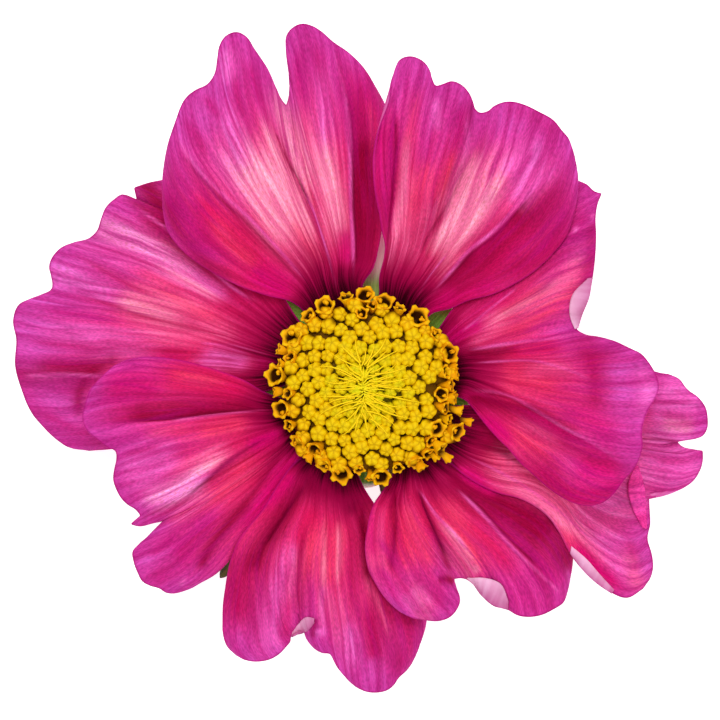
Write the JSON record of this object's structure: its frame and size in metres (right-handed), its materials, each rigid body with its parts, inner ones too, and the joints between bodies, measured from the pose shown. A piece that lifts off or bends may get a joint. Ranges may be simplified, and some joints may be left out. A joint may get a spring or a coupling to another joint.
{
  "type": "cosmos flower",
  "caption": "Picked cosmos flower head lying face up, with overlapping notched magenta petals round a golden disc of tiny florets, on green bracts and a short cut stem.",
  "frame": {"origin": "middle of the bounding box on the surface that the flower lies on", "axes": "+Z out of the flower's face, up from the surface; +Y towards the long upper petal; +X towards the right-hand petals"},
  "size_m": [0.0698, 0.0668, 0.019],
  "materials": {
    "petal": "soft satin petal skin, magenta with coral bands and a maroon root",
    "disc_bud": "waxy yellow buds, greener towards the middle",
    "open_floret": "golden orange lobes round a dark brown throat",
    "inner_bract": "pale green with thin whitish margins",
    "outer_bract": "dull dark green, fleshy",
    "stem": "smooth green skin with a paler cut end"
  },
  "bodies": {
    "root": {"petal_left": "petal", "petal_upper_left": "petal", "petal_lower_left": "petal", "petal_bottom": "petal", "petal_bottom_right": "petal", "petal_lower_right": "petal", "petal_right": "petal", "petal_upper_right": "petal", "bud_dome": "disc_bud", "open_floret_01": "open_floret", "open_floret_02": "open_floret", "open_floret_03": "open_floret", "open_floret_04": "open_floret", "open_floret_05": "open_floret", "open_floret_06": "open_floret", "open_floret_07": "open_floret", "open_floret_08": "open_floret", "open_floret_09": "open_floret", "open_floret_10": "open_floret", "open_floret_11": "open_floret", "open_floret_12": "open_floret", "open_floret_13": "open_floret", "open_floret_14": "open_floret", "open_floret_15": "open_floret", "open_floret_16": "open_floret", "open_floret_17": "open_floret", "open_floret_18": "open_floret", "open_floret_19": "open_floret", "open_floret_20": "open_floret", "inner_bract_1": "inner_bract", "inner_bract_2": "inner_bract", "inner_bract_3": "inner_bract", "inner_bract_4": "inner_bract", "inner_bract_5": "inner_bract", "inner_bract_6": "inner_bract", "inner_bract_7": "inner_bract", "inner_bract_8": "inner_bract", "outer_bract_1": "outer_bract", "outer_bract_2": "outer_bract", "outer_bract_3": "outer_bract", "outer_bract_4": "outer_bract", "outer_bract_5": "outer_bract", "outer_bract_6": "outer_bract", "outer_bract_7": "outer_bract", "outer_bract_8": "outer_bract", "receptacle_and_stem": "stem"}
  },
  "joints": []
}
